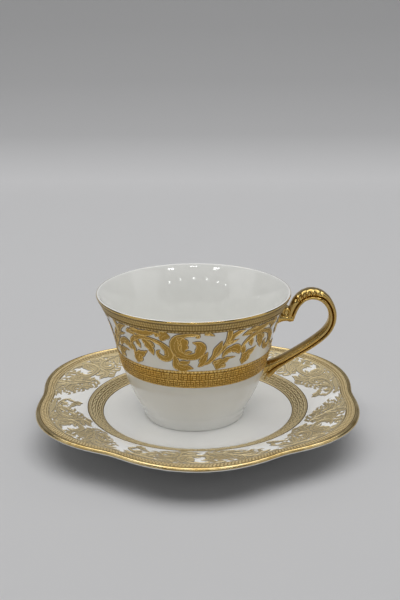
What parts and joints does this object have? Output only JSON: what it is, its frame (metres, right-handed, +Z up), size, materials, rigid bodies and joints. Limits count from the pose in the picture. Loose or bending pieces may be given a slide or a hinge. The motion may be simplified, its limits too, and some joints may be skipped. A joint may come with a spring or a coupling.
{
  "type": "teacup and saucer",
  "caption": "Flared porcelain teacup with a gilt looped handle, standing in the well of a six-lobed saucer; both carry gilt bands and scrollwork.",
  "frame": {"origin": "on the table, under the centre of the saucer's foot ring and outline", "axes": "+Z up; +X from the saucer's centre to a notch in its edge, with the cup's handle on that side; +Y from the centre to the middle of a lobe, so that the front lobe faces -Y"},
  "size_m": [0.1516, 0.16, 0.0683],
  "materials": {
    "porcelain": "glossy clear glaze on white porcelain",
    "burnished_gold": "burnished gold fired over the glaze",
    "pale_gold": "paler gold transfer, finely patterned, fired over the glaze"
  },
  "bodies": {
    "saucer": {"saucer_plate": "porcelain", "saucer_edge_gilding": "burnished_gold", "saucer_edge_band": "burnished_gold", "saucer_well_band": "burnished_gold", "saucer_scroll_1": "pale_gold", "saucer_scroll_2": "pale_gold", "saucer_scroll_3": "pale_gold", "saucer_scroll_4": "pale_gold", "saucer_scroll_5": "pale_gold", "saucer_scroll_6": "pale_gold"},
    "cup": {"cup_bowl": "porcelain", "cup_handle": "burnished_gold", "cup_lip_gilding": "burnished_gold", "cup_rim_band": "burnished_gold", "cup_scroll_1": "burnished_gold", "cup_scroll_2": "burnished_gold", "cup_scroll_3": "burnished_gold", "cup_scroll_4": "burnished_gold", "cup_waist_band": "burnished_gold"}
  },
  "joints": [
    {"name": "cup_lift", "type": "slide", "parent": "saucer", "child": "cup", "axis": [0, 0, 1], "range_m": [0, 0.08]}
  ]
}
